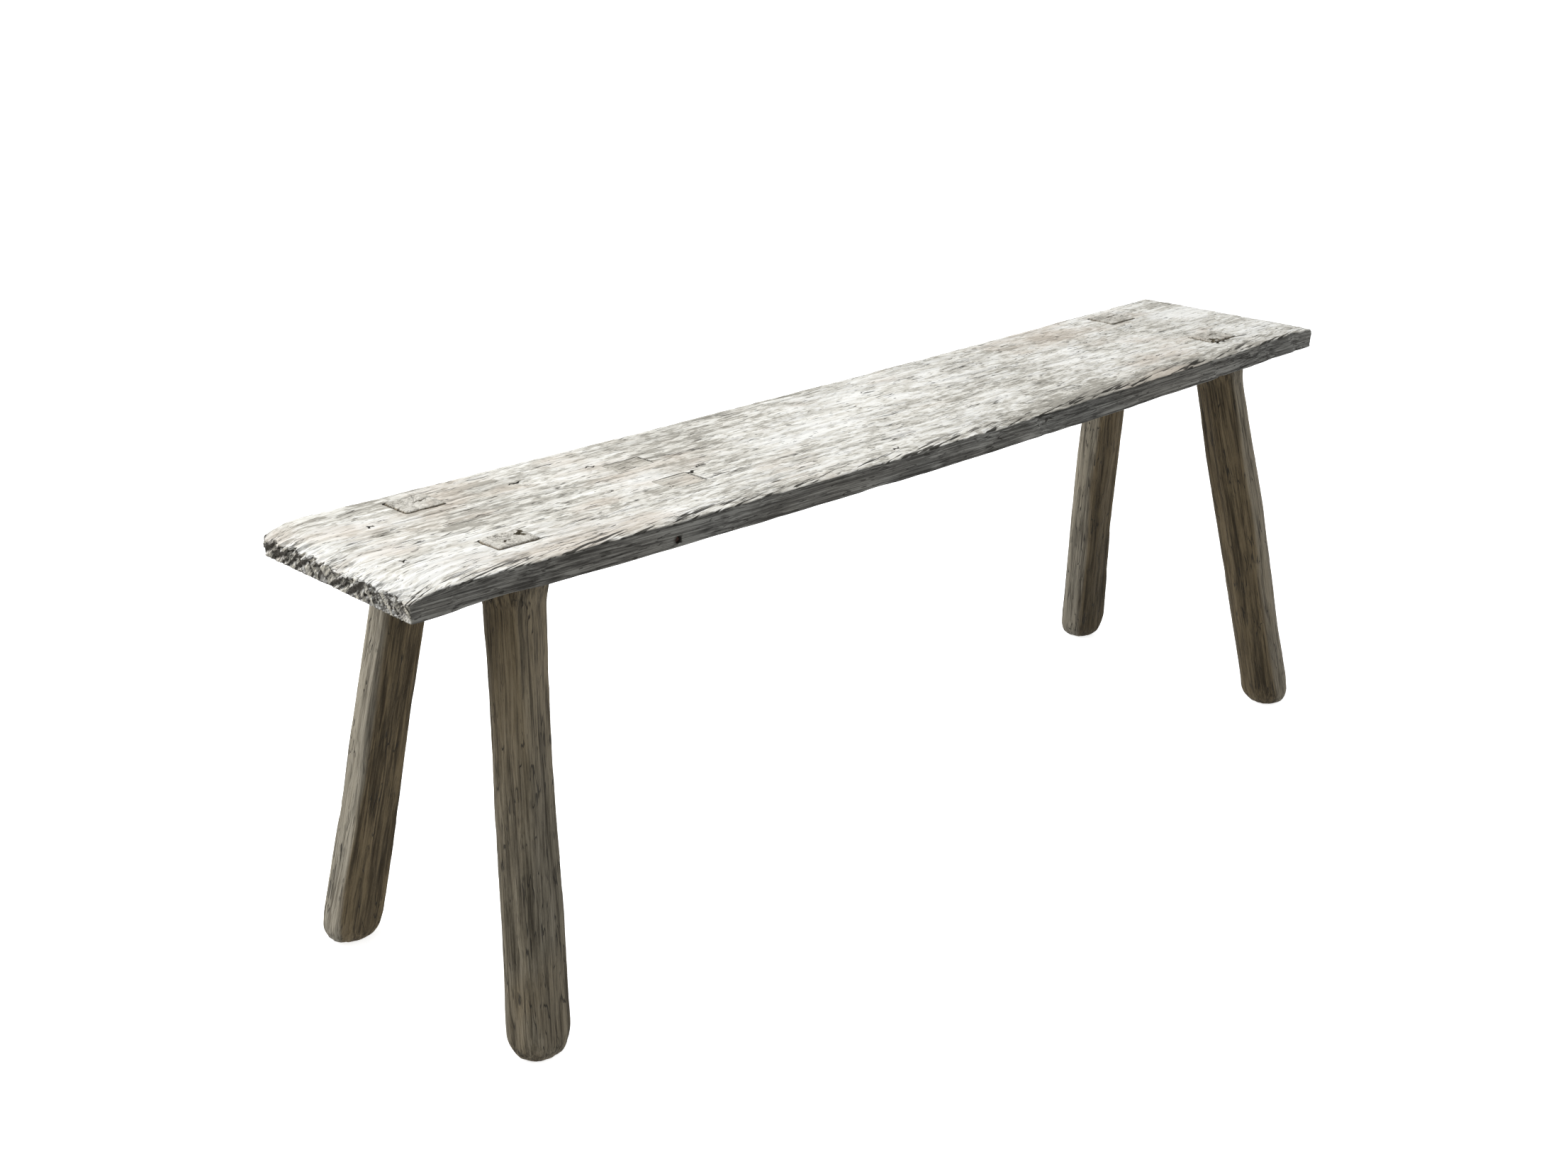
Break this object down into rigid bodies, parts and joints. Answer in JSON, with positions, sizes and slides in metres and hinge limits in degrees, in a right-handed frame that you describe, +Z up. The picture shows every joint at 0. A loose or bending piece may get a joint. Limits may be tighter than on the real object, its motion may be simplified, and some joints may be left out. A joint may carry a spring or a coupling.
{
  "type": "backless bench",
  "caption": "Long narrow backless bench: a weathered plank seat on splayed hewn legs tenoned through it.",
  "frame": {"origin": "on the floor under the middle of the whole bench, level with the undersides of the feet", "axes": "+X along the bench to the right, -Y to the front, +Z up"},
  "size_m": [1.288, 0.3519, 0.4515],
  "materials": {
    "weathered_plank": "silvered bare plank with raised grain, checks and worn edges, matt",
    "hewn_leg": "bare grey-brown wood, hewn flats and strong upright grain, matt",
    "plug_wood": "bare weathered wood, a little browner than the plank, matt",
    "rusted_iron": "dark rust"
  },
  "bodies": {
    "root": {"seat_plank": "weathered_plank", "leg_front_left": "hewn_leg", "leg_back_left": "hewn_leg", "leg_front_right": "hewn_leg", "leg_back_right": "hewn_leg", "mortise_plug_back": "plug_wood", "mortise_plug_front": "plug_wood", "nail_stub": "rusted_iron"}
  },
  "joints": []
}
